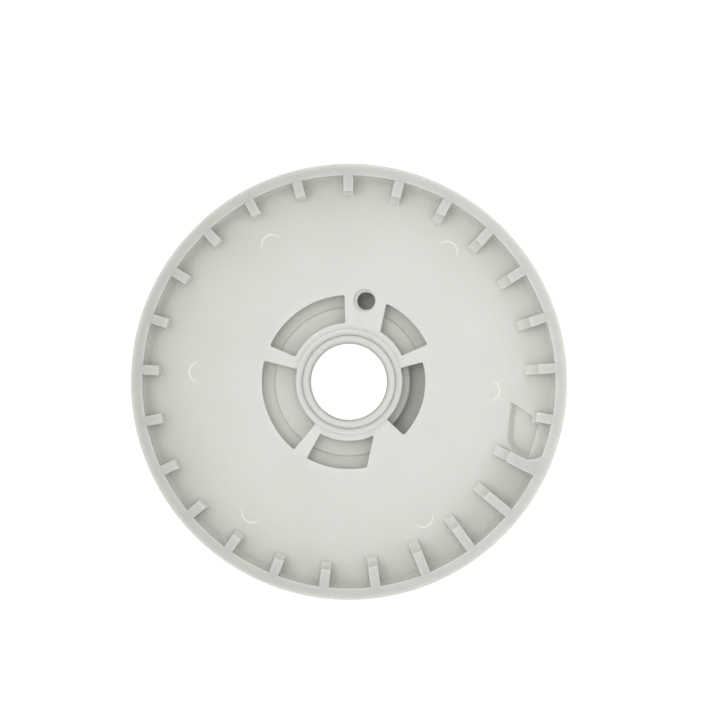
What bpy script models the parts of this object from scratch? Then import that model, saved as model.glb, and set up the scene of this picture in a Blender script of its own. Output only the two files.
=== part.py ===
"""Adjustable film developing reel: two nylon flanges on a telescoping core.

The reel lies flat, with its axis on +Z and the lower rim on z = 0. The lower flange, the core tube and the lower
drum stay still. The width collar slides up the core tube, and the upper flange, with its guide sleeve and drum,
turns in the collar. All lengths are in metres.
"""

import math

import bmesh
import bpy
from mathutils import Matrix, Vector

MM = 0.001
GAP = 0.3 * MM

# Joined shapes run OVERLAP into each other, cutters run PAST a face, STAGGER keeps faces out of one plane.
OVERLAP = 0.4 * MM
PAST = 1.0 * MM
STAGGER = 0.1 * MM

# Flanges, in each flange's own frame: z = 0 is the bottom of the film groove, +z points out of the reel.
REEL_R = 47.5 * MM
RIM_INNER_R = 44.9 * MM
RIM_RISE = 10.0 * MM
WEB = 3.0 * MM
RIM_TOP = WEB + RIM_RISE
FLANGE_STEPS = 52

RIB_COUNT = 25
RIB_PITCH = 360.0 / RIB_COUNT
RIB_FIRST = -10.6
RIB_WIDTH = 2.2 * MM
RIB_END_R = 41.5 * MM
RIB_LONG_BY = 3.3 * MM
RIB_LONG_FIRST = 25.0
RIB_LONG_LAST = 105.0
RIB_SINK = 0.05 * MM
RIB_ROOT = 2.5 * MM
RIB_SLOPE_EVEN = 1.2 * MM
RIB_SLOPE_SIDE = 1.85 * MM
RIB_SLOPE_TURN = 15.0

HUB_BORE_R = 10.5 * MM
HUB_RING_R = 11.6 * MM
HUB_RING_RISE = 0.4 * MM
SLEEVE_R = 11.4 * MM

# Windows round the hub: inner radius, outer radius, inner edge angles, outer edge angles, counter-clockwise.
WINDOWS = (
    (11.75 * MM, 19.15 * MM, (166.0, 231.5), (166.0, 231.0)),
    (12.95 * MM, 19.05 * MM, (93.5, 155.0), (93.0, 155.5)),
    (12.95 * MM, 19.05 * MM, (26.0, 58.0), (25.5, 64.5)),
    (11.75 * MM, 16.75 * MM, (-44.8, 15.0), (-44.2, 15.0)),
    (12.95 * MM, 19.15 * MM, (-119.0, -65.2), (-119.0, -78.2)),
)
PIN_HOLE_AT = (18.15 * MM, 78.0)
PIN_HOLE_R = 1.95 * MM
PIN_SINK_R = 2.45 * MM
PIN_SINK_DEPTH = 0.8 * MM
HOLE_STEPS = 24

# The D-shaped pocket: a straight upper edge, a straight inner side and a round lower end.
POCKET_CORNER = Vector((35.5 * MM, -4.4 * MM))
POCKET_EDGE_END = Vector((42.4 * MM, -8.9 * MM))
POCKET_ROUND_AT = Vector((39.4 * MM, -11.8 * MM))
POCKET_ROUND_R = 4.7 * MM
POCKET_DEPTH = 1.5 * MM
POCKET_ARC = (35.0, -180.0)
POCKET_STEPS = 14
GUSSET_INNER_R = 38.6 * MM
GUSSET_CLEAR_R = 5.1 * MM
GUSSET_ANGLES = (-27.0, -16.0)

# Film spiral on the inner face.
SPIRAL_START_R = 24.0 * MM
SPIRAL_END_R = 42.2 * MM
SPIRAL_PITCH = 2.7 * MM
SPIRAL_WALL = 0.9 * MM
SPIRAL_HEIGHT = 1.5 * MM
SPIRAL_STEPS_PER_TURN = 24
SPIRAL_START_ANGLE = -40.0

# Film-entry lug and the ball slot in it.
LUG_R = (42.9 * MM, 47.2 * MM)
LUG_ANGLES = (-33.0, -3.0)
LUG_HEIGHT = 4.6 * MM
BALL_R = 1.5 * MM
BALL_TRAVEL = 1.5 * MM
BALL_ANGLE = -18.0
BALL_AT_R = 44.9 * MM
BALL_DEPTH = 2.3 * MM
SLOT_R = (43.3 * MM, 46.7 * MM)
MOUTH_HALF = 1.25 * MM

# Core.
FILM_GAP = 35.4 * MM
WIDTH_TRAVEL = 26.5 * MM
LOWER_FACE_Z = RIM_TOP
UPPER_FACE_Z = RIM_TOP + FILM_GAP
BORE_R = 8.6 * MM
TUBE_R = 10.2 * MM
TUBE_END_RISE = 0.3 * MM
TUBE_CHAMFER = 1.0 * MM
CORE_STEPS = 48
LOWER_DRUM_R = (19.9 * MM, 21.1 * MM)
UPPER_DRUM_R = (21.4 * MM, 22.6 * MM)
DRUM_SEAT = 1.0 * MM
DRUM_END_GAP = 0.6 * MM

# Width collar, its keys, and the tab and slot that limit the twist.
COLLAR_REST_GAP = 1.6 * MM
COLLAR_Z = LOWER_FACE_Z + COLLAR_REST_GAP
COLLAR_BASE = 3.4 * MM
COLLAR_CUP = 3.0 * MM
COLLAR_GUIDE = 26.2 * MM
COLLAR_R = 15.4 * MM
SHOULDER_R = LOWER_DRUM_R[0] - GAP
SHOULDER_DROP = (8.0 * MM, 1.2 * MM)
DRAIN_R = 13.4 * MM
DRAIN_ANGLES = (-52.0, 22.0)
DRAIN_DROP = 5.7 * MM
BEAD_R = 12.6 * MM
BEAD_PLAY = (0.5 * MM, 0.4 * MM)
KEY_R = 9.6 * MM
KEY_WIDTH = 2.0 * MM
KEYWAY_R = 9.3 * MM
KEYWAY_WIDTH = 2.6 * MM
STOP_ANGLE = 78.0
STOP_TAB_HALF_DEG = 6.0
STOP_TAB_R = 13.9 * MM
STOP_SPARE_DEG = 1.0
TWIST_DEG = 20.0

COLLAR_TOP = COLLAR_Z + COLLAR_BASE + COLLAR_CUP + COLLAR_GUIDE
BEAD_Z = (COLLAR_Z + COLLAR_BASE + BEAD_PLAY[0], COLLAR_Z + COLLAR_BASE + COLLAR_CUP - BEAD_PLAY[1])

NYLON = (0.66, 0.68, 0.63, 1.0)
STEEL = (0.62, 0.62, 0.60, 1.0)


def clear_scene():
    for obj in list(bpy.data.objects):
        bpy.data.objects.remove(obj, do_unlink=True)


def material(name, color, roughness, metallic=0.0):
    mat = bpy.data.materials.new(name)
    mat.use_nodes = True
    shader = mat.node_tree.nodes["Principled BSDF"]
    shader.inputs["Base Color"].default_value = color
    shader.inputs["Roughness"].default_value = roughness
    shader.inputs["Metallic"].default_value = metallic
    return mat


def new_object(name, bm):
    """Turns a bmesh into an object with outward normals."""
    bmesh.ops.recalc_face_normals(bm, faces=bm.faces)
    mesh = bpy.data.meshes.new(name)
    bm.to_mesh(mesh)
    bm.free()
    obj = bpy.data.objects.new(name, mesh)
    bpy.context.scene.collection.objects.link(obj)
    return obj


def polar(radius, degrees):
    angle = math.radians(degrees)
    return Vector((radius * math.cos(angle), radius * math.sin(angle)))


def arc(radius, first, last, steps, centre=Vector((0.0, 0.0))):
    """Points on an arc from the first to the last angle in degrees."""
    return [centre + polar(radius, first + (last - first) * i / steps) for i in range(steps + 1)]


def circle(radius, centre):
    """The corners of a round hole."""
    return arc(radius, 0.0, 360.0 - 360.0 / HOLE_STEPS, HOLE_STEPS - 1, centre)


def turned(name, profile, steps):
    """Spins a closed (radius, z) outline once round the Z axis."""
    bm = bmesh.new()
    verts = [bm.verts.new((r, 0.0, z)) for r, z in profile]
    edges = [bm.edges.new((verts[i - 1], verts[i])) for i in range(len(verts))]
    bmesh.ops.spin(
        bm, geom=verts + edges, cent=(0, 0, 0), axis=(0, 0, 1), angle=math.tau, steps=steps, use_merge=True
    )
    bmesh.ops.remove_doubles(bm, verts=bm.verts, dist=0.00001 * MM)
    return new_object(name, bm)


def prism(name, outline, low, high):
    """Extrudes a flat outline from the low to the high z."""
    bm = bmesh.new()
    base = bm.faces.new([bm.verts.new((p.x, p.y, low)) for p in outline])
    top = bmesh.ops.extrude_face_region(bm, geom=[base])["geom"]
    moved = [g for g in top if isinstance(g, bmesh.types.BMVert)]
    bmesh.ops.translate(bm, verts=moved, vec=(0, 0, high - low))
    return new_object(name, bm)


def sector(radii, inner_angles, outer_angles):
    """The outline of a piece of a ring; its ends may lean."""
    steps = max(3, round(abs(outer_angles[1] - outer_angles[0]) / 5.0))
    inner = arc(radii[0], inner_angles[0], inner_angles[1], steps)
    outer = arc(radii[1], outer_angles[0], outer_angles[1], steps)
    return inner + outer[::-1]


def boolean(obj, tools, operation):
    """Joins the tools to the object or cuts them out of it, and drops them."""
    for tool in tools:
        step = obj.modifiers.new(tool.name, "BOOLEAN")
        step.operation = operation
        step.solver = "EXACT"
        step.object = tool
    bpy.context.view_layer.update()
    graph = bpy.context.evaluated_depsgraph_get()
    mesh = bpy.data.meshes.new_from_object(obj.evaluated_get(graph), depsgraph=graph)
    obj.modifiers.clear()
    obj.data = mesh
    for tool in tools:
        bpy.data.objects.remove(tool, do_unlink=True)


def finish(obj, mat, sharp_deg=32.0):
    mesh = obj.data
    mesh.materials.clear()
    mesh.materials.append(mat)
    mesh.shade_smooth()
    mesh.set_sharp_from_angle(angle=math.radians(sharp_deg))


def rib_end_radius(turn):
    """Ribs past the pocket reach further in and shorten evenly; turn is degrees clockwise from +X."""
    if turn < RIB_LONG_FIRST - 1.0 or turn > RIB_LONG_LAST:
        return RIB_END_R
    share = (RIB_LONG_LAST - turn) / (RIB_LONG_LAST - RIB_LONG_FIRST)
    return RIB_END_R - RIB_LONG_BY * share


def rib_foot_reach(turn):
    """How much further in than its top a rib's end comes at the web; the rib in the pocket ends straight."""
    if 0.0 < turn < RIB_PITCH:
        return 0.0
    return max(0.0, RIB_SLOPE_EVEN + RIB_SLOPE_SIDE * math.cos(math.radians(turn - RIB_SLOPE_TURN)))


def rib(index):
    """One radial rib from the web up to the rim's edge, its inner end sloped."""
    degrees = RIB_FIRST - RIB_PITCH * index
    inner = rib_end_radius(-degrees)
    outer = RIM_INNER_R + OVERLAP
    along = polar(1.0, degrees)
    across = polar(RIB_WIDTH / 2, degrees + 90.0)
    outline = [along * inner - across, along * outer - across, along * outer + across, along * inner + across]
    low = WEB - RIB_ROOT
    high = RIM_TOP - RIB_SINK
    obj = prism(f"rib_{index}", outline, low, high)
    reach = along * rib_foot_reach(-degrees) * (high - low) / (high - WEB)
    for vert in obj.data.vertices:
        if vert.co.z < WEB and vert.co.xy.length < RIM_INNER_R:
            vert.co.xy -= reach
    return obj


def pocket_outline():
    low_left = arc(POCKET_ROUND_R, *POCKET_ARC, POCKET_STEPS, POCKET_ROUND_AT)
    return [POCKET_CORNER, POCKET_EDGE_END] + low_left


def gusset():
    """The thick corner between the pocket, the rib beside it and the rim."""
    outline = sector((GUSSET_INNER_R, RIM_INNER_R + OVERLAP), GUSSET_ANGLES, GUSSET_ANGLES)
    body = prism("gusset", outline, WEB - RIB_ROOT + STAGGER, RIM_TOP - STAGGER)
    round_cut = prism("gusset_cut", circle(GUSSET_CLEAR_R, POCKET_ROUND_AT), -PAST, RIM_TOP + PAST)
    boolean(body, [round_cut], "DIFFERENCE")
    return body


def spiral_ridge():
    """The thin wall that leads the film, wound outwards."""
    turns = (SPIRAL_END_R - SPIRAL_START_R) / SPIRAL_PITCH
    steps = round(turns * SPIRAL_STEPS_PER_TURN)
    bm = bmesh.new()
    rings = []
    for i in range(steps + 1):
        share = i / steps
        radius = SPIRAL_START_R + share * turns * SPIRAL_PITCH
        degrees = SPIRAL_START_ANGLE + share * turns * 360.0
        ring = []
        for side, z in ((-1, OVERLAP), (1, OVERLAP), (1, -SPIRAL_HEIGHT), (-1, -SPIRAL_HEIGHT)):
            point = polar(radius + side * SPIRAL_WALL / 2, degrees)
            ring.append(bm.verts.new((point.x, point.y, z)))
        rings.append(ring)
    for near, far in zip(rings, rings[1:]):
        for k in range(4):
            bm.faces.new((near[k - 1], near[k], far[k], far[k - 1]))
    bm.faces.new(rings[0])
    bm.faces.new(rings[-1][::-1])
    return new_object("spiral_ridge", bm)


def slot_box(name, radii, half_length, half_height):
    """A cutter along the rim's tangent at the ball's place."""
    along = polar(1.0, BALL_ANGLE)
    across = polar(half_length, BALL_ANGLE + 90.0)
    outline = [
        along * radii[0] - across,
        along * radii[1] - across,
        along * radii[1] + across,
        along * radii[0] + across,
    ]
    return prism(name, outline, -BALL_DEPTH - half_height, -BALL_DEPTH + half_height)


def flange_profile(seat_radii):
    """Outline of the web, rim and hub, with the round seat for a drum in its inner face."""
    seat_in = seat_radii[0] - GAP
    seat_out = seat_radii[1] + GAP
    hub = [(HUB_BORE_R, WEB + HUB_RING_RISE), (HUB_RING_R, WEB + HUB_RING_RISE), (HUB_RING_R, WEB)]
    face = [(RIM_INNER_R, WEB), (RIM_INNER_R, RIM_TOP), (REEL_R, RIM_TOP), (REEL_R, 0.0)]
    seat = [(seat_out, 0.0), (seat_out, DRUM_SEAT), (seat_in, DRUM_SEAT), (seat_in, 0.0)]
    return hub + face + seat + [(HUB_BORE_R, 0.0)]


def flange(name, seat_radii, mat):
    """One flange in its own frame."""
    obj = turned(name, flange_profile(seat_radii), FLANGE_STEPS)
    lug = prism("lug", sector(LUG_R, LUG_ANGLES, LUG_ANGLES), -LUG_HEIGHT, OVERLAP + STAGGER)
    boolean(obj, [lug, spiral_ridge()], "UNION")

    cutters = []
    for number, (inner, outer, inner_angles, outer_angles) in enumerate(WINDOWS):
        outline = sector((inner, outer), inner_angles, outer_angles)
        cutters.append(prism(f"window_{number}", outline, -PAST, WEB + PAST))
    hole_at = polar(*PIN_HOLE_AT)
    cutters.append(prism("pin_hole", circle(PIN_HOLE_R, hole_at), -PAST, WEB + PAST))
    cutters.append(prism("pin_sink", circle(PIN_SINK_R, hole_at), WEB - PIN_SINK_DEPTH, WEB + PAST))
    cutters.append(prism("pocket", pocket_outline(), WEB - POCKET_DEPTH, WEB + PAST))
    half_length = BALL_R + BALL_TRAVEL + GAP
    cutters.append(slot_box("ball_slot", SLOT_R, half_length, BALL_R + GAP))
    mouth_radii = (LUG_R[0] - PAST, SLOT_R[0] + STAGGER)
    cutters.append(slot_box("ball_mouth", mouth_radii, half_length - GAP, MOUTH_HALF))
    boolean(obj, cutters, "DIFFERENCE")

    ribs = [rib(i) for i in range(RIB_COUNT)]
    boolean(obj, ribs + [gusset()], "UNION")
    finish(obj, mat)
    return obj


def guide_sleeve(mat):
    """The sleeve under the upper hub: it turns in the collar, held there by its bead and stopped by its tab."""
    profile = [
        (HUB_BORE_R, UPPER_FACE_Z - GAP),
        (SLEEVE_R, UPPER_FACE_Z - GAP),
        (SLEEVE_R, BEAD_Z[1]),
        (BEAD_R, BEAD_Z[1]),
        (BEAD_R, BEAD_Z[0]),
        (HUB_BORE_R, BEAD_Z[0]),
    ]
    obj = turned("guide_sleeve", profile, CORE_STEPS)
    angles = (STOP_ANGLE - STOP_TAB_HALF_DEG, STOP_ANGLE + STOP_TAB_HALF_DEG)
    outline = sector((BEAD_R - OVERLAP, STOP_TAB_R), angles, angles)
    boolean(obj, [prism("stop_tab", outline, BEAD_Z[0] + STAGGER, BEAD_Z[1] - STAGGER)], "UNION")
    finish(obj, mat)
    return obj


def set_in_reel(obj, face_z, flipped):
    """Puts a flange's mesh at its height, mirrored when it is the lower one."""
    turn = Matrix.Diagonal((1.0, 1.0, -1.0 if flipped else 1.0, 1.0))
    obj.data.transform(Matrix.Translation((0, 0, face_z)) @ turn)
    if flipped:
        obj.data.flip_normals()


def core_tube(mat):
    low = LOWER_FACE_Z - WEB
    high = UPPER_FACE_Z + WEB + TUBE_END_RISE
    profile = [
        (BORE_R, low + TUBE_CHAMFER),
        (BORE_R, high - TUBE_CHAMFER),
        (BORE_R + TUBE_CHAMFER, high),
        (TUBE_R, high),
        (TUBE_R, low),
        (BORE_R + TUBE_CHAMFER, low),
    ]
    obj = turned("core_tube", profile, CORE_STEPS)
    top = COLLAR_Z + COLLAR_BASE + WIDTH_TRAVEL + GAP
    cutters = []
    for side in (-1, 1):
        outline = box_outline(side * KEYWAY_R, side * (TUBE_R + PAST), KEYWAY_WIDTH)
        cutters.append(prism(f"keyway_{side}", outline, COLLAR_Z - GAP, top))
    boolean(obj, cutters, "DIFFERENCE")
    finish(obj, mat)
    return obj


def box_outline(near_x, far_x, width):
    low = min(near_x, far_x)
    high = max(near_x, far_x)
    half = width / 2
    return [Vector((low, -half)), Vector((high, -half)), Vector((high, half)), Vector((low, half))]


def drum(name, radii, low, high, mat):
    """A plain sleeve of the telescoping core."""
    obj = turned(name, [(radii[0], high), (radii[1], high), (radii[1], low), (radii[0], low)], CORE_STEPS)
    finish(obj, mat)
    return obj


def width_collar(mat):
    """The keyed collar: a cup for the bead at its foot, and a shoulder inside the lower drum with a drain recess."""
    cup_low = COLLAR_Z + COLLAR_BASE
    cup_high = cup_low + COLLAR_CUP
    profile = [
        (HUB_BORE_R, COLLAR_Z),
        (HUB_BORE_R, cup_low),
        (BEAD_R + GAP, cup_low),
        (BEAD_R + GAP, cup_high),
        (SLEEVE_R + GAP, cup_high),
        (SLEEVE_R + GAP, COLLAR_TOP),
        (COLLAR_R, COLLAR_TOP),
        (COLLAR_R, COLLAR_TOP - SHOULDER_DROP[1]),
        (SHOULDER_R, COLLAR_TOP - SHOULDER_DROP[1]),
        (SHOULDER_R, COLLAR_TOP - SHOULDER_DROP[0]),
        (COLLAR_R, COLLAR_TOP - SHOULDER_DROP[0]),
        (COLLAR_R, COLLAR_Z),
    ]
    obj = turned("width_collar", profile, CORE_STEPS)
    keys = []
    for side in (-1, 1):
        outline = box_outline(side * KEY_R, side * (HUB_BORE_R + OVERLAP), KEY_WIDTH)
        keys.append(prism(f"key_{side}", outline, COLLAR_Z + STAGGER, cup_low - STAGGER))
    boolean(obj, keys, "UNION")
    half = TWIST_DEG + STOP_TAB_HALF_DEG + STOP_SPARE_DEG
    angles = (STOP_ANGLE - half, STOP_ANGLE + half)
    outline = sector((BEAD_R - GAP, STOP_TAB_R + GAP), angles, angles)
    slot = prism("stop_slot", outline, cup_low + STAGGER, cup_high - STAGGER)
    outline = sector((DRAIN_R, SHOULDER_R + PAST), DRAIN_ANGLES, DRAIN_ANGLES)
    drain = prism("drain_recess", outline, COLLAR_TOP - DRAIN_DROP, COLLAR_TOP + PAST)
    boolean(obj, [slot, drain], "DIFFERENCE")
    finish(obj, mat)
    return obj


def film_ball(name, z, mat):
    bm = bmesh.new()
    bmesh.ops.create_uvsphere(bm, u_segments=16, v_segments=8, radius=BALL_R)
    obj = new_object(name, bm)
    place = polar(BALL_AT_R, BALL_ANGLE)
    obj.location = (place.x, place.y, z)
    finish(obj, mat, 60.0)
    return obj


def main():
    clear_scene()
    flange_nylon = material("flange_nylon", NYLON, 0.45)
    core_nylon = material("core_nylon", NYLON, 0.4)
    ball_steel = material("ball_steel", STEEL, 0.2, 1.0)

    upper = flange("upper_flange", UPPER_DRUM_R, flange_nylon)
    set_in_reel(upper, UPPER_FACE_Z, False)
    lower = flange("lower_flange", LOWER_DRUM_R, flange_nylon)
    set_in_reel(lower, LOWER_FACE_Z, True)

    core_tube(core_nylon)
    guide_sleeve(core_nylon)
    drum_low = LOWER_FACE_Z - DRUM_SEAT + GAP
    drum("lower_drum", LOWER_DRUM_R, drum_low, UPPER_FACE_Z - DRUM_END_GAP, core_nylon)
    drum_high = UPPER_FACE_Z + DRUM_SEAT - GAP
    drum("upper_drum", UPPER_DRUM_R, LOWER_FACE_Z + DRUM_END_GAP, drum_high, core_nylon)
    width_collar(core_nylon)
    film_ball("upper_film_ball", UPPER_FACE_Z - BALL_DEPTH, ball_steel)
    film_ball("lower_film_ball", LOWER_FACE_Z + BALL_DEPTH, ball_steel)


main()
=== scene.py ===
"""Looks of the film developing reel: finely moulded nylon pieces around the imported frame."""

import math

import bmesh
import bpy
from mathutils import Matrix, Vector


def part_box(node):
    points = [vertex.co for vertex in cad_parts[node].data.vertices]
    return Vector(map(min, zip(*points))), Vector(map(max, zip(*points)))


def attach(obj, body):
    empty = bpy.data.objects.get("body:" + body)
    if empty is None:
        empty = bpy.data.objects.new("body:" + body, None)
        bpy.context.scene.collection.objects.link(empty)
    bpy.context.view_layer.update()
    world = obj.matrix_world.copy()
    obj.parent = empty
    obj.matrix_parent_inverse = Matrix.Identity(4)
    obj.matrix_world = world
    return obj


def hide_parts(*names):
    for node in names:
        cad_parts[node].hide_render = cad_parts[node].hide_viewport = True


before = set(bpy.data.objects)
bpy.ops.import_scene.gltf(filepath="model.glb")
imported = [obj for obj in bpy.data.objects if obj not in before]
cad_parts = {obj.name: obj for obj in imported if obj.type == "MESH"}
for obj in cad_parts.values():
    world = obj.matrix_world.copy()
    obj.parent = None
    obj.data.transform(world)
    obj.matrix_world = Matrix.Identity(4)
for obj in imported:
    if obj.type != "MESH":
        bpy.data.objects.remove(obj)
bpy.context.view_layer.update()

MM = 0.001
RING_STEPS = 200

# Places read from the frame.
FLANGE_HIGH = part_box("upper_flange")[1]
REEL_R = FLANGE_HIGH.x
REEL_TOP = FLANGE_HIGH.z
RIM_TOP = 13.0 * MM
UPPER_FACE_Z = REEL_TOP - RIM_TOP
LOWER_FACE_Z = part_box("lower_flange")[0].z + RIM_TOP

# The moulding, in a flange's own frame: z = 0 is the bottom of the film groove, +z points out of the reel.
WEB = 3.0 * MM
RIM_INNER_R = 44.9 * MM
HUB_BORE_R = 10.5 * MM
EDGE_ROUND = 0.22 * MM
WINDOW_ROUND = 0.45 * MM

RIB_COUNT = 25
RIB_PITCH = 360.0 / RIB_COUNT
RIB_FIRST = -10.6
RIB_WIDTH = 2.2 * MM
RIB_END_R = 41.5 * MM
RIB_LONG_BY = 3.3 * MM
RIB_LONG_FIRST = 25.0
RIB_LONG_LAST = 105.0
RIB_SLOPE_EVEN = 1.2 * MM
RIB_SLOPE_SIDE = 1.85 * MM
RIB_SLOPE_TURN = 15.0
RIB_TOP = RIM_TOP - 0.05 * MM
ROOT = WEB - 0.8 * MM

# Inner radius and outer radius in millimetres, angles of the inner edge, angles of the outer edge.
WINDOWS = (
    (11.75, 19.15, (166.0, 231.5), (166.0, 231.0)),
    (12.95, 19.05, (93.5, 155.0), (93.0, 155.5)),
    (12.95, 19.05, (26.0, 58.0), (25.5, 64.5)),
    (11.75, 16.75, (-44.8, 15.0), (-44.2, 15.0)),
    (12.95, 19.15, (-119.0, -65.2), (-119.0, -78.2)),
)
PIN_HOLE_AT = (18.15 * MM, 78.0)
PIN_HOLE_R = 1.95 * MM
PIN_SINK_AT = (18.2 * MM, 79.2)
PIN_SINK_R = 2.5 * MM
PIN_SINK_DEPTH = 0.8 * MM
PIN_PIT_R = 2.4 * MM

# Ejector marks as radius and angle: six large ones, and three small ones nearer the hub.
EJECTOR_MARKS = (
    (30.8 * MM, -3.6), (35.7 * MM, 53.0), (34.4 * MM, 119.4),
    (32.8 * MM, 176.3), (35.6 * MM, 233.4), (33.7 * MM, 298.6),
)
MARK_R = 2.3 * MM
MARK_DEPTH = 0.1 * MM
SMALL_MARKS_AT_R = 27.8 * MM
SMALL_MARK_ANGLES = (-40.0, -90.0, 86.0)
SMALL_MARK_R = 1.7 * MM
SMALL_MARK_DEPTH = 0.05 * MM

POCKET_CORNER = Vector((35.5 * MM, -4.4 * MM))
POCKET_EDGE_END = Vector((42.4 * MM, -8.9 * MM))
POCKET_ROUND_AT = Vector((39.4 * MM, -11.8 * MM))
POCKET_ROUND_R = 4.7 * MM
POCKET_DEPTH = 1.5 * MM
POCKET_SLOPE = 1.3 * MM
GUSSET_INNER_R = 38.6 * MM
GUSSET_CLEAR_R = 5.1 * MM
GUSSET_ANGLES = (-27.0, -16.0)

SPIRAL_START_R = 24.0 * MM
SPIRAL_END_R = 42.2 * MM
SPIRAL_PITCH = 2.7 * MM
SPIRAL_START_ANGLE = -40.0
SPIRAL_STEPS_A_TURN = 96

LUG_R = (42.9 * MM, 47.1 * MM)
LUG_ANGLES = (-33.0, -3.0)
LUG_HEIGHT = 4.6 * MM
BALL_ANGLE = -18.0
BALL_DEPTH = 2.3 * MM
SLOT_R = (43.3 * MM, 46.7 * MM)
SLOT_HALF = (3.3 * MM, 1.8 * MM)
MOUTH_HALF = (3.0 * MM, 1.25 * MM)

# The core. The drums sit in round seats in the flanges, and the tube's keyways run between two heights.
CORE_STEPS = 160
UPPER_SEAT_R = (21.1 * MM, 22.9 * MM)
LOWER_SEAT_R = (19.6 * MM, 21.4 * MM)
UPPER_DRUM_INNER = 21.4
LOWER_DRUM_INNER = 19.9
KEYWAY_R = (9.3 * MM, 11.2 * MM)
KEYWAY_HALF = 1.3 * MM
KEYWAY_Z = (14.3 * MM, 44.8 * MM)
RECESS_R = (13.4 * MM, 20.6 * MM)
RECESS_ANGLES = (-52.0, 22.0)
RECESS_DEPTH = 5.7 * MM
PIT_DEPTH = 6.5 * MM
BALL_R = 1.5 * MM

# Real sizes of the nylon's patterns.
CLOUD_SIZE = 14.0 * MM
MOTTLE_SIZE = 1.2 * MM
SPECK_SPACING = 9.0 * MM
POLISH_SIZE = 8.0 * MM
SHRINK_SIZE = 5.0 * MM
GRAIN_SIZE = 0.18 * MM

# Light: a glowing table, an even white room and one large box overhead, a little to the left.
TABLE_GLOW = 0.92
ROOM_LIGHT = 1.1
OVERHEAD_AT = (-0.17, 0.05, 0.97)
OVERHEAD_SIZE = 0.42
OVERHEAD_POWER = 1.95

# The view: the reel's diameter fills this share of the frame's width; its axis is this far off the middle.
SENSOR = 36.0
CAMERA_ABOVE_RIM = 1200.0 * MM
VIEW_SHARE = 0.6065
VIEW_SHIFT = (0.0153, 0.0303)


# Small helpers

def deselect():
    for obj in bpy.context.selected_objects:
        obj.select_set(False)
    bpy.context.view_layer.objects.active = None


def pick(obj):
    deselect()
    obj.select_set(True)
    bpy.context.view_layer.objects.active = obj


def polar(radius, degrees):
    angle = math.radians(degrees)
    return Vector((radius * math.cos(angle), radius * math.sin(angle)))


def arc(radius, first, last, steps, centre=Vector((0.0, 0.0))):
    return [centre + polar(radius, first + (last - first) * i / steps) for i in range(steps + 1)]


def circle(radius, at):
    """The corners of a small hole at a (radius, angle) place."""
    return arc(radius, 0.0, 352.5, 47, polar(*at))


def rounded(corners, steps=5):
    """Turns (radius, z, fillet) corners in millimetres into an outline in metres, each fillet an arc."""
    points = []
    count = len(corners)
    for i, (x, y, fillet) in enumerate(corners):
        here = Vector((x, y))
        if not fillet:
            points.append(here * MM)
            continue
        before = (Vector(corners[i - 1][:2]) - here).normalized()
        after = (Vector(corners[(i + 1) % count][:2]) - here).normalized()
        half = before.angle(after) / 2
        reach = fillet / math.tan(half)
        centre = here + (before + after).normalized() * (fillet / math.sin(half))
        start = (here + before * reach - centre).normalized()
        end = (here + after * reach - centre).normalized()
        for k in range(steps + 1):
            points.append((centre + start.slerp(end, k / steps) * fillet) * MM)
    return points


def turn(name, outline, steps=RING_STEPS):
    """Draws an outline point by point at +X and spins it once round the reel's axis."""
    deselect()
    bpy.ops.mesh.primitive_plane_add(size=MM, location=(outline[0].x, 0.0, outline[0].y))
    obj = bpy.context.object
    obj.name = name
    bpy.ops.object.transform_apply(location=True, rotation=True, scale=True)
    bpy.ops.object.mode_set(mode="EDIT")
    bpy.ops.mesh.select_all(action="SELECT")
    bpy.ops.mesh.merge(type="CENTER")
    for here, there in zip(outline, outline[1:] + outline[:1]):
        step = (there.x - here.x, 0.0, there.y - here.y)
        bpy.ops.mesh.extrude_vertices_move(TRANSFORM_OT_translate={"value": step})
    bpy.ops.mesh.select_all(action="SELECT")
    bpy.ops.mesh.remove_doubles(threshold=0.001 * MM)
    bpy.ops.mesh.spin(steps=steps, angle=math.tau, center=(0, 0, 0), axis=(0, 0, 1))
    bpy.ops.mesh.select_all(action="SELECT")
    bpy.ops.mesh.remove_doubles(threshold=0.001 * MM)
    bpy.ops.mesh.normals_make_consistent(inside=False)
    bpy.ops.object.mode_set(mode="OBJECT")
    return obj


def loft(name, bottom, top, low, high):
    """A solid between two outlines with the same number of points."""
    deselect()
    count = len(bottom)
    verts = [(p.x, p.y, low) for p in bottom] + [(p.x, p.y, high) for p in top]
    sides = [[i, (i + 1) % count] for i in range(count)]
    edges = sides + [[a + count, b + count] for a, b in sides]
    mesh = bpy.data.meshes.new(name)
    mesh.from_pydata(verts, edges, [])
    obj = bpy.data.objects.new(name, mesh)
    bpy.context.scene.collection.objects.link(obj)
    pick(obj)
    bpy.ops.object.mode_set(mode="EDIT")
    bpy.ops.mesh.select_all(action="SELECT")
    bpy.ops.mesh.bridge_edge_loops()
    bpy.ops.mesh.select_all(action="SELECT")
    bpy.ops.mesh.fill_holes(sides=0)
    bpy.ops.mesh.select_all(action="SELECT")
    bpy.ops.mesh.normals_make_consistent(inside=False)
    bpy.ops.object.mode_set(mode="OBJECT")
    return obj


def prism(name, outline, low, high):
    """Fills a flat outline and pulls it up from the low to the high z."""
    deselect()
    mesh = bpy.data.meshes.new(name)
    mesh.from_pydata([(p.x, p.y, low) for p in outline], [], [list(range(len(outline)))])
    obj = bpy.data.objects.new(name, mesh)
    bpy.context.scene.collection.objects.link(obj)
    pick(obj)
    bpy.ops.object.mode_set(mode="EDIT")
    bpy.ops.mesh.select_all(action="SELECT")
    bpy.ops.mesh.extrude_region_move(TRANSFORM_OT_translate={"value": (0, 0, high - low)})
    bpy.ops.mesh.select_all(action="SELECT")
    bpy.ops.mesh.normals_make_consistent(inside=False)
    bpy.ops.object.mode_set(mode="OBJECT")
    return obj


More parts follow.
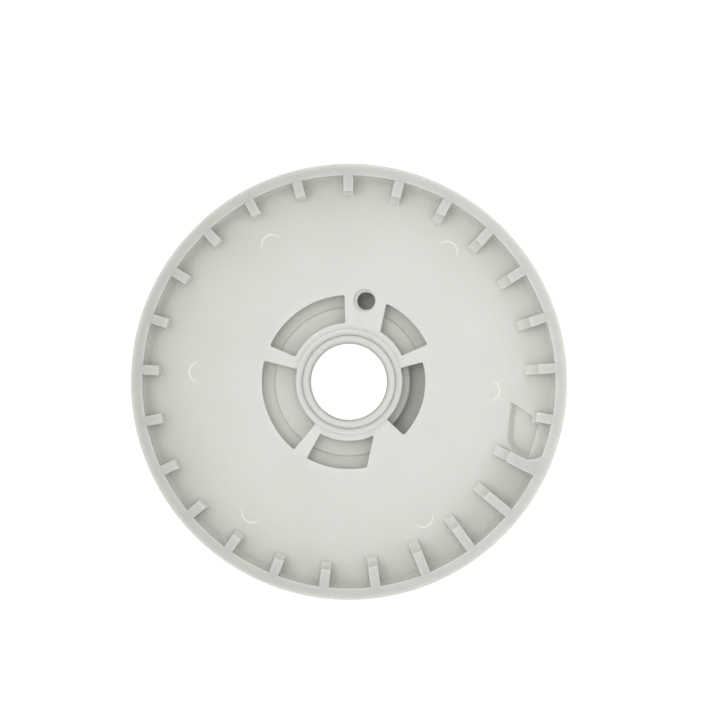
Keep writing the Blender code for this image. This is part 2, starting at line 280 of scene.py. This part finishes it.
def sector(radii, inner_angles, outer_angles):
    steps = max(4, round(abs(outer_angles[1] - outer_angles[0]) / 1.8))
    inner = arc(radii[0], inner_angles[0], inner_angles[1], steps)
    outer = arc(radii[1], outer_angles[0], outer_angles[1], steps)
    return inner + outer[::-1]


def round_corners(outline, radius, steps=4):
    """Rounds an outline's sharp corners, seen from above."""
    points = []
    count = len(outline)
    for i, here in enumerate(outline):
        before = outline[i - 1] - here
        after = outline[(i + 1) % count] - here
        angle = before.angle(after)
        if angle > math.radians(150.0):
            points.append(here)
            continue
        reach = min(radius / math.tan(angle / 2), before.length * 0.8, after.length * 0.8)
        start = here + before.normalized() * reach
        end = here + after.normalized() * reach
        for k in range(steps + 1):
            t = k / steps
            points.append(start.lerp(here, t).lerp(here.lerp(end, t), t))
    return points


def shift(obj, chosen, by):
    """Moves the vertices whose place the test picks."""
    pick(obj)
    for vert in obj.data.vertices:
        vert.select = chosen(vert.co)
    for part in list(obj.data.edges) + list(obj.data.polygons):
        part.select = False
    bpy.ops.object.mode_set(mode="EDIT")
    bpy.ops.transform.translate(value=by)
    bpy.ops.object.mode_set(mode="OBJECT")


def bevel(obj, width, segments=3, limit_deg=40.0):
    pick(obj)
    step = obj.modifiers.new("edges", "BEVEL")
    step.width = width
    step.segments = segments
    step.limit_method = "ANGLE"
    step.angle_limit = math.radians(limit_deg)
    bpy.ops.object.modifier_apply(modifier=step.name)


def combine(obj, tools, operation):
    """Unions the tools with the object or cuts them out of it, and drops them."""
    for tool in tools:
        pick(obj)
        step = obj.modifiers.new(tool.name, "BOOLEAN")
        step.operation = operation
        step.solver = "MANIFOLD"
        step.object = tool
        bpy.ops.object.modifier_apply(modifier=step.name)
        bpy.data.objects.remove(tool, do_unlink=True)


def gather(objects, name):
    """Joins separate solids into one object without merging them."""
    deselect()
    for obj in objects:
        obj.select_set(True)
    bpy.context.view_layer.objects.active = objects[0]
    bpy.ops.object.join()
    objects[0].name = name
    return objects[0]


def smooth(obj, degrees=35.0):
    """Smooth shading that leaves large flat faces flat up to their rounded edges."""
    pick(obj)
    bpy.ops.object.shade_smooth_by_angle(angle=math.radians(degrees))
    step = obj.modifiers.new("flat_faces", "WEIGHTED_NORMAL")
    step.mode = "FACE_AREA"
    step.weight = 100
    step.keep_sharp = True
    bpy.ops.object.modifier_apply(modifier=step.name)


# Materials

def linear(code):
    """An sRGB hex colour as linear RGBA."""
    values = [int(code[i:i + 2], 16) / 255.0 for i in (1, 3, 5)]
    line = [v / 12.92 if v <= 0.04045 else ((v + 0.055) / 1.055) ** 2.4 for v in values]
    return (*line, 1.0)


def node(tree, kind, settings=None, links=None):
    """Adds a node, sets its properties and inputs, and links inputs to other nodes' outputs."""
    made = tree.nodes.new(kind)
    for key, value in (settings or {}).items():
        if isinstance(key, str) and hasattr(made, key):
            setattr(made, key, value)
        else:
            made.inputs[key].default_value = value
    for key, source in (links or {}).items():
        tree.links.new(source, made.inputs[key])
    return made


def new_material(name):
    mat = bpy.data.materials.new(name)
    mat.use_nodes = True
    tree = mat.node_tree
    return mat, tree, tree.nodes["Principled BSDF"]


def painted_highlight_arcs(tree, place):
    """How strongly a painted highlight lies on the nylon: a fine pale arc on the outer side of each large
    ejector mark.
    """
    total = None
    flat = node(tree, "ShaderNodeVectorMath", {"operation": "MULTIPLY", 1: (1.0, 1.0, 0.0)}, {0: place})
    for radius, degrees in EJECTOR_MARKS:
        at = (*polar(radius, degrees), 0.0)
        out = (*polar(1.0, degrees), 0.0)
        local = node(tree, "ShaderNodeVectorMath", {"operation": "SUBTRACT", 1: at}, {0: flat.outputs[0]})
        reach = node(tree, "ShaderNodeVectorMath", {"operation": "LENGTH"}, {0: local.outputs[0]})
        ring = node(
            tree,
            "ShaderNodeMath",
            {"operation": "COMPARE", 1: MARK_R, 2: 0.19 * MM},
            {0: reach.outputs["Value"]},
        )
        outward = node(
            tree, "ShaderNodeVectorMath", {"operation": "DOT_PRODUCT", 1: out}, {0: local.outputs[0]}
        )
        faded = node(
            tree,
            "ShaderNodeMapRange",
            {"From Min": 0.1 * MM, "From Max": 1.8 * MM, "To Max": 0.5},
            {"Value": outward.outputs["Value"]},
        )
        both = {0: ring.outputs[0], 1: faded.outputs["Result"]}
        one = node(tree, "ShaderNodeMath", {"operation": "MULTIPLY"}, both)
        if total is None:
            total = one
        else:
            both = {0: total.outputs[0], 1: one.outputs[0]}
            total = node(tree, "ShaderNodeMath", {"operation": "MAXIMUM"}, both)
    return total


def natural_nylon(name, near, far, painted_top_shades, painted_highlights=False):
    """Injection-moulded natural nylon: a milky, satin plastic that lets light into it.

    The melt has flowed in faint clouds, and a few specks of burnt resin show. Light is painted in as well:
    the colour is painted paler from -X to +X, the rim and rib tops get a painted shade, and a painted
    highlight arc lies on the outer side of each large ejector mark.
    """
    mat, tree, shader = new_material(name)
    place = node(tree, "ShaderNodeTexCoord").outputs["Object"]
    split = node(tree, "ShaderNodeSeparateXYZ", {}, {"Vector": place})

    # Painted light and shade: paler from -X to +X. Over it lie clouds in the melt and fine mottling from
    # uneven crystals.
    across = node(
        tree, "ShaderNodeMapRange", {"From Min": -REEL_R, "From Max": REEL_R}, {"Value": split.outputs["X"]}
    )
    cloud = node(tree, "ShaderNodeTexNoise", {"Scale": 1 / CLOUD_SIZE, "Detail": 3.0}, {"Vector": place})
    mottle = node(tree, "ShaderNodeTexNoise", {"Scale": 1 / MOTTLE_SIZE, "Detail": 2.0}, {"Vector": place})
    uneven = node(
        tree,
        "ShaderNodeMath",
        {"operation": "MULTIPLY_ADD", 1: 0.5},
        {0: mottle.outputs["Fac"], 2: cloud.outputs["Fac"]},
    )
    centred = node(tree, "ShaderNodeMath", {"operation": "SUBTRACT", 1: 0.75}, {0: uneven.outputs[0]})
    mixed = node(
        tree,
        "ShaderNodeMath",
        {"operation": "MULTIPLY_ADD", 1: 0.7, "use_clamp": True},
        {0: centred.outputs[0], 2: across.outputs["Result"]},
    )
    body = node(
        tree,
        "ShaderNodeMix",
        {"data_type": "RGBA", 6: linear(near), 7: linear(far)},
        {"Factor": mixed.outputs[0]},
    )

    # Height above the web on either side of the reel: painted shade darkens the rim, the rib tops and the
    # upper walls, more at -X than at +X.
    height = node(
        tree, "ShaderNodeMath", {"operation": "SUBTRACT", 1: REEL_TOP / 2}, {0: split.outputs["Z"]}
    )
    away = node(tree, "ShaderNodeMath", {"operation": "ABSOLUTE"}, {0: height.outputs[0]})
    painted_top_shade_mask = node(
        tree,
        "ShaderNodeMapRange",
        {"From Min": REEL_TOP / 2 - 7.0 * MM, "From Max": REEL_TOP / 2 - 1.0 * MM},
        {"Value": away.outputs[0]},
    )
    painted_top_shade = node(
        tree,
        "ShaderNodeMix",
        {"data_type": "RGBA", 6: linear(painted_top_shades[0]), 7: linear(painted_top_shades[1])},
        {"Factor": across.outputs["Result"]},
    )
    shaded = node(
        tree,
        "ShaderNodeMix",
        {"data_type": "RGBA", "blend_type": "MULTIPLY"},
        {"Factor": painted_top_shade_mask.outputs["Result"], 6: body.outputs[2], 7: painted_top_shade.outputs[2]},
    )
    # Painted highlight: a pale arc on the outer side of each large ejector mark.
    if painted_highlights:
        shaded = node(
            tree,
            "ShaderNodeMix",
            {"data_type": "RGBA", 7: linear("#f4f3ea")},
            {"Factor": painted_highlight_arcs(tree, place).outputs[0], 6: shaded.outputs[2]},
        )

    # Specks of burnt resin, a third of a millimetre wide, where a cell's middle lies close to the surface.
    cells = node(tree, "ShaderNodeTexVoronoi", {"Scale": 1 / SPECK_SPACING}, {"Vector": place})
    chosen = node(
        tree, "ShaderNodeMath", {"operation": "LESS_THAN", 1: 0.018}, {0: cells.outputs["Distance"]}
    )
    specked = node(
        tree,
        "ShaderNodeMix",
        {"data_type": "RGBA", 7: linear("#a8a698")},
        {"Factor": chosen.outputs[0], 6: shaded.outputs[2]},
    )
    tree.links.new(specked.outputs[2], shader.inputs["Base Color"])

    # Satin that varies with the polish of the mould.
    polish = node(tree, "ShaderNodeTexNoise", {"Scale": 1 / POLISH_SIZE, "Detail": 4.0}, {"Vector": place})
    rough = node(
        tree, "ShaderNodeMapRange", {"To Min": 0.42, "To Max": 0.58}, {"Value": polish.outputs["Fac"]}
    )
    tree.links.new(rough.outputs["Result"], shader.inputs["Roughness"])

    # Spark-eroded grain over a slow unevenness from shrinkage.
    grain = node(tree, "ShaderNodeTexNoise", {"Scale": 1 / GRAIN_SIZE, "Detail": 2.0}, {"Vector": place})
    sink = node(tree, "ShaderNodeTexNoise", {"Scale": 1 / SHRINK_SIZE, "Detail": 1.0}, {"Vector": place})
    wave = node(
        tree, "ShaderNodeBump", {"Strength": 0.25, "Distance": 0.12 * MM}, {"Height": sink.outputs["Fac"]}
    )
    fine = node(
        tree,
        "ShaderNodeBump",
        {"Strength": 0.3, "Distance": 0.02 * MM},
        {"Height": grain.outputs["Fac"], "Normal": wave.outputs["Normal"]},
    )
    tree.links.new(fine.outputs["Normal"], shader.inputs["Normal"])

    shader.inputs["IOR"].default_value = 1.53
    shader.inputs["Subsurface Weight"].default_value = 1.0
    shader.inputs["Subsurface Radius"].default_value = (1.0, 0.97, 0.9)
    shader.inputs["Subsurface Scale"].default_value = 4.0 * MM
    return mat


def polished_steel():
    """Polished stainless steel of a bearing ball: mirror-like, with a faint haze from handling."""
    mat, tree, shader = new_material("polished_stainless")
    place = node(tree, "ShaderNodeTexCoord").outputs["Object"]
    haze = node(tree, "ShaderNodeTexNoise", {"Scale": 1 / (0.9 * MM), "Detail": 4.0}, {"Vector": place})
    rough = node(
        tree, "ShaderNodeMapRange", {"To Min": 0.08, "To Max": 0.22}, {"Value": haze.outputs["Fac"]}
    )
    tint = node(
        tree,
        "ShaderNodeMix",
        {"data_type": "RGBA", 6: linear("#d9d8d5"), 7: linear("#bdbcb8")},
        {"Factor": haze.outputs["Fac"]},
    )
    tree.links.new(tint.outputs[2], shader.inputs["Base Color"])
    tree.links.new(rough.outputs["Result"], shader.inputs["Roughness"])
    shader.inputs["Metallic"].default_value = 1.0
    return mat


def table_paint():
    """The pale, even table top: a matt opal sheet lit from below, with a faint orange-peel unevenness."""
    mat, tree, shader = new_material("white_lacquer_table")
    place = node(tree, "ShaderNodeTexCoord").outputs["Object"]
    peel = node(tree, "ShaderNodeTexNoise", {"Scale": 1 / (4.0 * MM), "Detail": 2.0}, {"Vector": place})
    bump = node(
        tree, "ShaderNodeBump", {"Strength": 0.05, "Distance": 0.1 * MM}, {"Height": peel.outputs["Fac"]}
    )
    tree.links.new(bump.outputs["Normal"], shader.inputs["Normal"])
    shader.inputs["Base Color"].default_value = linear("#89898a")
    shader.inputs["Roughness"].default_value = 0.9
    shader.inputs["Emission Color"].default_value = linear("#ffffff")
    shader.inputs["Emission Strength"].default_value = TABLE_GLOW
    return mat


# The flange, modelled once in its own frame

def rib_end_radius(turned):
    if turned < RIB_LONG_FIRST - 1.0 or turned > RIB_LONG_LAST:
        return RIB_END_R
    share = (RIB_LONG_LAST - turned) / (RIB_LONG_LAST - RIB_LONG_FIRST)
    return RIB_END_R - RIB_LONG_BY * share


def rib_foot_reach(turned):
    """How much further in than its top a rib's end comes at the web; the rib in the pocket ends straight."""
    if 0.0 < turned < RIB_PITCH:
        return 0.0
    return max(0.0, RIB_SLOPE_EVEN + RIB_SLOPE_SIDE * math.cos(math.radians(turned - RIB_SLOPE_TURN)))


def rib(index):
    """One rib from the web to the rim's edge: rounded edges, a sloped inner end and a flared foot."""
    degrees = RIB_FIRST - RIB_PITCH * index
    inner = rib_end_radius(-degrees)
    outer = RIM_INNER_R + 0.6 * MM
    reach = rib_foot_reach(-degrees)
    deselect()
    bpy.ops.mesh.primitive_cube_add(
        size=1.0,
        location=((inner + outer) / 2, 0.0, (RIB_TOP + ROOT) / 2),
        scale=(outer - inner, RIB_WIDTH, RIB_TOP - ROOT),
    )
    obj = bpy.context.object
    obj.name = f"rib_{index}"
    bpy.ops.object.transform_apply(location=True, rotation=True, scale=True)
    slope = reach * (RIB_TOP - ROOT) / (RIB_TOP - WEB)
    shift(obj, lambda at: at.z < WEB and at.x < RIM_INNER_R, (-slope, 0.0, 0.0))
    bevel(obj, EDGE_ROUND)
    combine(obj, [rib_foot(inner - reach, outer, ROOT)], "UNION")
    obj.data.transform(Matrix.Rotation(math.radians(degrees), 4, "Z"))
    return obj


def rib_foot(inner, outer, low):
    """The fillet where a rib meets the web, as a low flared plinth."""
    steps = 4
    flare = 0.45 * MM
    layers = [(flare, low)]
    for k in range(steps + 1):
        turned = math.radians(90.0 * k / steps)
        height = WEB - 0.02 * MM + flare * (1.0 - math.cos(turned))
        layers.append((flare * (1.0 - math.sin(turned)), height))
    mesh = bpy.data.meshes.new("rib_foot")
    verts = []
    for out, z in layers:
        half = RIB_WIDTH / 2 + out - 0.01 * MM
        start = inner - out + 0.01 * MM
        verts += [(start, -half, z), (outer, -half, z), (outer, half, z), (start, half, z)]
    faces = [[3, 2, 1, 0]]
    for level in range(len(layers) - 1):
        for k in range(4):
            a = level * 4 + k
            b = level * 4 + (k + 1) % 4
            faces.append([a, b, b + 4, a + 4])
    last = (len(layers) - 1) * 4
    faces.append([last, last + 1, last + 2, last + 3])
    mesh.from_pydata(verts, [], faces)
    obj = bpy.data.objects.new("rib_foot", mesh)
    bpy.context.scene.collection.objects.link(obj)
    return obj


def pocket_outline(inset):
    """The pocket's D: a steep straight upper edge, and a side and round end that slope in."""
    edge = (POCKET_EDGE_END - POCKET_CORNER).normalized()
    corner = POCKET_CORNER + edge * inset
    end = POCKET_EDGE_END - edge * inset * 0.3
    return [corner, end] + arc(POCKET_ROUND_R - inset, 35.0, -180.0, 40, POCKET_ROUND_AT)


def pocket_cutter():
    """Runs from the pocket's floor out past the web, so its wall slopes all the way."""
    past = POCKET_SLOPE * MM / POCKET_DEPTH
    return loft("pocket", pocket_outline(POCKET_SLOPE), pocket_outline(-past), WEB - POCKET_DEPTH, WEB + MM)


def web_plate():
    """The web with its windows, pin hole and pocket, all edges rounded."""
    deselect()
    bpy.ops.mesh.primitive_cylinder_add(
        vertices=RING_STEPS,
        radius=RIM_INNER_R + 0.7 * MM,
        depth=WEB,
        location=(0, 0, WEB / 2),
        end_fill_type="NGON",
    )
    obj = bpy.context.object
    obj.name = "web"
    bpy.ops.object.transform_apply(location=True, rotation=True, scale=True)
    cutters = [prism("bore", arc(HUB_BORE_R + 0.5 * MM, 0.0, 358.0, 179), -MM, WEB + MM)]
    for number, (inner, outer, inner_angles, outer_angles) in enumerate(WINDOWS):
        outline = round_corners(sector((inner * MM, outer * MM), inner_angles, outer_angles), WINDOW_ROUND)
        cutters.append(prism(f"window_{number}", outline, -MM, WEB + MM))
    hole = circle(PIN_HOLE_R, PIN_HOLE_AT)
    sink = circle(PIN_SINK_R, PIN_SINK_AT)
    cutters.append(prism("pin_hole", hole, -MM, WEB + MM))
    cutters.append(prism("pin_sink", sink, WEB - PIN_SINK_DEPTH, WEB + MM))
    cutters.append(pocket_cutter())
    combine(obj, cutters, "DIFFERENCE")
    bevel(obj, EDGE_ROUND, 3, 50.0)
    return obj


def ejector_mark(number, at, radius, depth):
    """A shallow round print of an ejector pin, with a sloped edge."""
    deselect()
    bpy.ops.mesh.primitive_cone_add(
        vertices=48,
        radius1=radius - 0.25 * MM,
        radius2=radius + 0.15 * MM,
        depth=2 * depth,
        location=(at.x, at.y, WEB),
    )
    obj = bpy.context.object
    obj.name = f"ejector_mark_{number}"
    bpy.ops.object.transform_apply(location=True, rotation=True, scale=True)
    return obj


def rim_ring():
    """The rim, with a fillet where it meets the web."""
    outline = rounded([
        (42.6, 1.5, 0),
        (42.6, 2.93, 0),
        (44.55, 2.98, 1.4),
        (44.95, 13.0, 0.25),
        (47.5, 13.0, 0.4),
        (47.5, 0.0, 0.4),
        (45.0, 0.0, 0),
        (44.0, 0.0, 0),
    ])
    return turn("rim", outline)


def hub_ring():
    """The raised ring round the bore; the core tube's end shows just inside it."""
    outline = rounded([
        (10.28, 0.0, 0.3),
        (10.28, 3.4, 0),
        (11.62, 3.4, 0.3),
        (11.66, 2.6, 0),
        (11.7, 0.0, 0),
    ])
    return turn("hub", outline)


def gusset():
    """The thick corner between the pocket, the rib beside it and the rim."""
    radii = (GUSSET_INNER_R, RIM_INNER_R + 0.5 * MM)
    body = prism("gusset", sector(radii, GUSSET_ANGLES, GUSSET_ANGLES), ROOT, RIM_TOP - 0.1 * MM)
    cut = prism("gusset_cut", arc(GUSSET_CLEAR_R, 0.0, 354.0, 59, POCKET_ROUND_AT), -MM, RIM_TOP + MM)
    combine(body, [cut], "DIFFERENCE")
    bevel(body, 0.3 * MM, 3, 50.0)
    return body


def spiral_ridge():
    """The thin guiding wall, with a rounded tip and a little draft."""
    turns = (SPIRAL_END_R - SPIRAL_START_R) / SPIRAL_PITCH
    steps = round(turns * SPIRAL_STEPS_A_TURN)
    half = [(0.3, -1.42), (0.42, -1.2), (0.5, 0.5)]
    profile = [(-out, z) for out, z in half[::-1]] + [(0.0, -1.5)] + half
    bm = bmesh.new()
    rings = []
    for i in range(steps + 1):
        share = i / steps
        radius = SPIRAL_START_R + share * turns * SPIRAL_PITCH
        degrees = SPIRAL_START_ANGLE + share * turns * 360.0
        ring = []
        for out, z in profile:
            point = polar(radius + out * MM, degrees)
            ring.append(bm.verts.new((point.x, point.y, z * MM)))
        rings.append(ring)
    for near, far in zip(rings, rings[1:]):
        for k in range(len(profile)):
            bm.faces.new((near[k - 1], near[k], far[k], far[k - 1]))
    bm.faces.new(rings[0])
    bm.faces.new(rings[-1][::-1])
    bmesh.ops.recalc_face_normals(bm, faces=bm.faces)
    mesh = bpy.data.meshes.new("spiral_ridge")
    bm.to_mesh(mesh)
    bm.free()
    obj = bpy.data.objects.new("spiral_ridge", mesh)
    bpy.context.scene.collection.objects.link(obj)
    return obj


def slot_cutter(name, radii, half):
    """A box cut along the rim's tangent at the ball's place; half is its half length and half height."""
    along = polar(1.0, BALL_ANGLE)
    across = polar(half[0], BALL_ANGLE + 90.0)
    outline = [
        along * radii[0] - across,
        along * radii[1] - across,
        along * radii[1] + across,
        along * radii[0] + across,
    ]
    return prism(name, outline, -BALL_DEPTH - half[1], -BALL_DEPTH + half[1])


def entry_lug():
    """The lug where the film goes in, with the ball's slot and the mouth that it shows through."""
    body = prism("lug", sector(LUG_R, LUG_ANGLES, LUG_ANGLES), -LUG_HEIGHT, 0.4 * MM)
    bevel(body, 0.35 * MM, 3, 50.0)
    mouth = slot_cutter("ball_mouth", (LUG_R[0] - MM, SLOT_R[0] + 0.2 * MM), MOUTH_HALF)
    combine(body, [slot_cutter("ball_slot", SLOT_R, SLOT_HALF), mouth], "DIFFERENCE")
    return body


def box_outline(low, high):
    """The corners of an upright box between two corners."""
    return [Vector(low), Vector((high[0], low[1])), Vector(high), Vector((low[0], high[1]))]


def drum_seat(radii):
    return turn("drum_seat", box_outline((radii[0], -MM), (radii[1], MM)), 120)


def flange(name, seat):
    """One flange in its own frame, with the round seat for its drum."""
    obj = web_plate()
    obj.name = name
    ribs = gather([rib(i) for i in range(RIB_COUNT)], "ribs")
    combine(obj, [rim_ring(), hub_ring(), ribs, gusset(), entry_lug(), spiral_ridge()], "UNION")
    marks = []
    for at in EJECTOR_MARKS:
        marks.append(ejector_mark(len(marks), polar(*at), MARK_R, MARK_DEPTH))
    for degrees in SMALL_MARK_ANGLES:
        at = polar(SMALL_MARKS_AT_R, degrees)
        marks.append(ejector_mark(len(marks), at, SMALL_MARK_R, SMALL_MARK_DEPTH))
    combine(obj, [drum_seat(seat)] + marks, "DIFFERENCE")
    return obj


def set_in_reel(obj, face_z, flipped):
    """Puts a flange's mesh at its height, mirrored when it is the lower one."""
    mirror = Matrix.Diagonal((1, 1, -1 if flipped else 1, 1))
    obj.data.transform(Matrix.Translation((0, 0, face_z)) @ mirror)
    if flipped:
        obj.data.flip_normals()


# The core

def core_tube():
    """The tube for the column, its bore's ends rounded, with a keyway on each side."""
    low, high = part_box("core_tube")
    bottom = low.z / MM
    top = high.z / MM
    outline = rounded([
        (8.6, bottom, 0.8),
        (8.6, top, 1.4),
        (10.26, top, 0),
        (10.2, bottom, 0.25),
    ], 8)
    obj = turn("core_tube_fine", outline, CORE_STEPS)
    cutters = []
    for side in (-1, 1):
        near, far = sorted(side * radius for radius in KEYWAY_R)
        outline = box_outline((near, -KEYWAY_HALF), (far, KEYWAY_HALF))
        cutters.append(prism(f"keyway_{side}", outline, *KEYWAY_Z))
    combine(obj, cutters, "DIFFERENCE")
    return obj


def sleeve(name, node_name, inner):
    """A plain turned sleeve with softly rounded ends."""
    low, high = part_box(node_name)
    outer = high.x / MM
    bottom = low.z / MM
    top = high.z / MM
    outline = rounded([
        (inner, bottom, 0.2),
        (inner, top, 0.3),
        (outer, top, 0.3),
        (outer, bottom, 0.2),
    ])
    return turn(name, outline)


def collar():
    """The collar with its shoulder; a drain recess lies under one window and a pit under the pin hole."""
    low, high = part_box("width_collar")
    bottom = low.z / MM
    top = high.z / MM
    outer = high.x / MM
    outline = rounded([
        (10.5, bottom, 0.2),
        (10.5, bottom + 3.4, 0),
        (12.9, bottom + 3.4, 0),
        (12.9, bottom + 6.4, 0),
        (11.7, bottom + 6.4, 0),
        (11.7, top - 0.8, 0.2),
        (16.4, top - 0.8, 0.35),
        (16.4, top - 1.2, 0.1),
        (outer, top - 1.2, 0.2),
        (outer, top - 8.0, 0.3),
        (15.4, top - 8.0, 0),
        (15.4, bottom, 0.4),
    ])
    obj = turn("width_collar_fine", outline, CORE_STEPS)
    recess = round_corners(sector(RECESS_R, RECESS_ANGLES, RECESS_ANGLES), 0.8 * MM)
    cutters = [
        prism("drain_recess", recess, high.z - RECESS_DEPTH, high.z + MM),
        prism("pin_pit", circle(PIN_PIT_R, PIN_HOLE_AT), high.z - PIT_DEPTH, high.z + MM),
    ]
    combine(obj, cutters, "DIFFERENCE")
    return obj


def guide():
    """The sleeve that turns in the collar, with a bead at its foot."""
    low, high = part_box("guide_sleeve")
    bottom = low.z / MM
    top = high.z / MM
    outline = rounded([
        (10.5, bottom, 0.2),
        (10.5, top, 0),
        (11.4, top, 0),
        (11.4, bottom + 2.1, 0),
        (12.6, bottom + 2.1, 0.3),
        (12.6, bottom, 0.3),
    ])
    return turn("guide_sleeve_fine", outline, CORE_STEPS)


def film_ball(name, node_name):
    low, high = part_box(node_name)
    deselect()
    bpy.ops.mesh.primitive_uv_sphere_add(
        segments=64, ring_count=32, radius=BALL_R, location=(low + high) / 2
    )
    obj = bpy.context.object
    obj.name = name
    bpy.ops.object.transform_apply(location=True, rotation=True, scale=True)
    return obj


def place(obj, material, body, node_name, slot):
    """Finishes a piece, hangs it on its body and hides the CAD node that it stands for."""
    obj.data.materials.clear()
    obj.data.materials.append(material)
    smooth(obj)
    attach(obj, body)
    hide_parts(node_name)


# Stage

def stage():
    """The table, the even room and the box overhead."""
    deselect()
    bpy.ops.mesh.primitive_plane_add(size=4.0, location=(0, 0, 0))
    floor = bpy.context.object
    floor.name = "table_top"
    floor.data.materials.append(table_paint())

    world = bpy.data.worlds.new("studio")
    bpy.context.scene.world = world
    world.use_nodes = True
    back = world.node_tree.nodes["Background"]
    back.inputs["Color"].default_value = linear("#f6f7f7")
    back.inputs["Strength"].default_value = ROOM_LIGHT

    soft_box("overhead_box", OVERHEAD_AT, OVERHEAD_SIZE, OVERHEAD_POWER)


def soft_box(name, at, size, power):
    """A round soft light aimed at the reel's top."""
    light = bpy.data.lights.new(name, "AREA")
    light.shape = "DISK"
    light.size = size
    light.energy = power
    obj = bpy.data.objects.new(name, light)
    bpy.context.scene.collection.objects.link(obj)
    obj.location = at
    aim = Vector((0.0, 0.0, REEL_TOP)) - Vector(at)
    obj.rotation_euler = aim.to_track_quat("-Z", "Y").to_euler()


def camera():
    """A long lens straight above the column bore, so that the table shows clean through the tube."""
    data = bpy.data.cameras.new("camera")
    obj = bpy.data.objects.new("camera", data)
    bpy.context.scene.collection.objects.link(obj)
    bpy.context.scene.camera = obj
    data.sensor_width = SENSOR
    data.lens = CAMERA_ABOVE_RIM * VIEW_SHARE * SENSOR / (2 * REEL_R)
    data.shift_x = VIEW_SHIFT[0]
    data.shift_y = VIEW_SHIFT[1]
    data.clip_start = 0.01
    obj.location = (0.0, 0.0, REEL_TOP + CAMERA_ABOVE_RIM)


# Build

# The flange's colours hold painted light: paler towards +X, painted shade on the rim and rib tops, and
# painted highlight arcs by the ejector marks.
flange_nylon = natural_nylon(
    "moulded_natural_nylon_flange", "#cacbc5", "#d3d4cf", ("#dddddd", "#e3e3e3"), painted_highlights=True
)
# The core's colour is painted very slightly paler towards +X, as painted light.
core_nylon = natural_nylon("moulded_natural_nylon_core", "#d8d7d0", "#d9d8d1", ("#ffffff", "#ffffff"))

upper = flange("upper_flange_fine", UPPER_SEAT_R)
set_in_reel(upper, UPPER_FACE_Z, False)
place(upper, flange_nylon, "upper_half", "upper_flange", "flange_nylon")
lower = flange("lower_flange_fine", LOWER_SEAT_R)
set_in_reel(lower, LOWER_FACE_Z, True)
place(lower, flange_nylon, "lower_half", "lower_flange", "flange_nylon")

place(core_tube(), core_nylon, "lower_half", "core_tube", "core_nylon")
lower_drum = sleeve("lower_drum_fine", "lower_drum", LOWER_DRUM_INNER)
place(lower_drum, core_nylon, "lower_half", "lower_drum", "core_nylon")
upper_drum = sleeve("upper_drum_fine", "upper_drum", UPPER_DRUM_INNER)
place(upper_drum, core_nylon, "upper_half", "upper_drum", "core_nylon")
place(collar(), core_nylon, "collar", "width_collar", "core_nylon")
place(guide(), core_nylon, "upper_half", "guide_sleeve", "core_nylon")

steel = polished_steel()
upper_ball = film_ball("upper_film_ball_fine", "upper_film_ball")
place(upper_ball, steel, "upper_ball", "upper_film_ball", "ball_steel")
lower_ball = film_ball("lower_film_ball_fine", "lower_film_ball")
place(lower_ball, steel, "lower_ball", "lower_film_ball", "ball_steel")

stage()
camera()
bpy.context.scene.view_settings.view_transform = "Standard"
